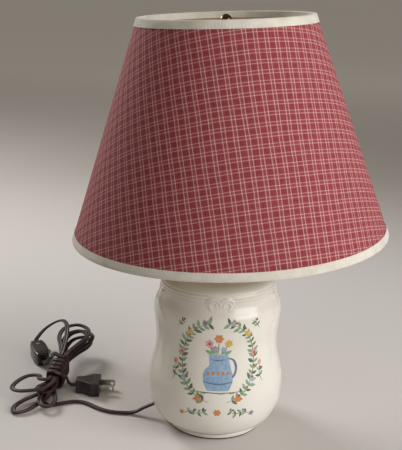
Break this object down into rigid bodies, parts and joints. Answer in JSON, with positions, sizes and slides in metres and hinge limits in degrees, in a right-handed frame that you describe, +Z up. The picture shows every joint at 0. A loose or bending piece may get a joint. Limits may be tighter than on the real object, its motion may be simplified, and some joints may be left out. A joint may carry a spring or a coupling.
{
  "type": "electric table lamp",
  "caption": "Table lamp with a glazed ceramic jar base, a conical checked cloth shade on a wire harp, and a twin cord with a line switch and a plug.",
  "frame": {"origin": "centre of the felt under the foot, on the table", "axes": "+Z up, front of the lamp towards -Y, +X to its right"},
  "size_m": [0.38, 0.3257, 0.4115],
  "materials": {
    "glaze": "gloss",
    "felt": "matte",
    "brass": "satin",
    "dark_brass": "polished",
    "steel": "satin",
    "white_steel": "satin",
    "cloth": "matte",
    "lining": "satin",
    "tape": "matte",
    "bulb": "frosted",
    "board": "matte",
    "phenolic": "satin",
    "cord_brown": "satin",
    "black_plastic": "satin",
    "nickel": "polished"
  },
  "bodies": {
    "lamp": {"ceramic_base": "glaze", "felt_pad": "felt", "cord_bushing": "black_plastic", "threaded_rod": "steel", "inner_washer": "steel", "lock_washer": "steel", "hex_nut": "steel", "vase_cap": "brass", "brass_neck": "brass", "harp_saddle": "brass", "harp_bow": "brass", "socket_cap": "brass", "socket_set_screw": "steel", "socket_shell": "brass", "socket_liner": "board", "socket_body": "phenolic", "socket_screw_shell": "nickel", "socket_contact": "brass", "terminal_screw_hot": "brass", "terminal_screw_neutral": "nickel", "cord_inside": "cord_brown", "cord_lead": "cord_brown", "cord_hank": "cord_brown", "cord_to_switch": "cord_brown", "cord_from_switch": "cord_brown", "cord_wrap": "cord_brown", "cord_plug_tail": "cord_brown", "switch_upper_shell": "black_plastic", "switch_lower_shell": "black_plastic", "switch_pin": "steel", "switch_screw": "steel", "switch_nut": "steel", "plug_body": "black_plastic", "plug_blade_narrow": "nickel", "plug_blade_wide": "nickel"},
    "shade": {"harp_stud": "brass", "top_frame": "white_steel", "bottom_ring": "white_steel", "shade_cloth": "cloth", "shade_lining": "lining", "top_tape": "tape", "bottom_tape": "tape"},
    "finial": {"finial": "dark_brass"},
    "bulb": {"bulb_glass": "bulb", "bulb_cap": "nickel", "bulb_contact": "nickel"},
    "sleeve_left": {"harp_sleeve_left": "brass"},
    "sleeve_right": {"harp_sleeve_right": "brass"},
    "switch_wheel": {"switch_wheel": "black_plastic"}
  },
  "joints": [
    {"name": "shade_turn", "type": "hinge", "parent": "lamp", "child": "shade", "pos_m": [0, 0, 0.3921], "axis": [-0.0506, 0, 0.9987], "continuous": true},
    {"name": "finial_turn", "type": "hinge", "parent": "shade", "child": "finial", "pos_m": [0, 0, 0.3921], "axis": [-0.0506, 0, 0.9987], "range_deg": [0, 2340]},
    {"name": "bulb_turn", "type": "hinge", "parent": "lamp", "child": "bulb", "pos_m": [0, 0, 0.2035], "axis": [0, 0, 1], "range_deg": [0, 1800]},
    {"name": "sleeve_left_slide", "type": "slide", "parent": "lamp", "child": "sleeve_left", "axis": [0, 0, 1], "range_m": [0, 0.012]},
    {"name": "sleeve_right_slide", "type": "slide", "parent": "lamp", "child": "sleeve_right", "axis": [0, 0, 1], "range_m": [0, 0.012]},
    {"name": "switch_wheel_turn", "type": "hinge", "parent": "lamp", "child": "switch_wheel", "pos_m": [-0.2004, 0.13609, 0.0075], "axis": [0, 0, 1], "continuous": true}
  ]
}
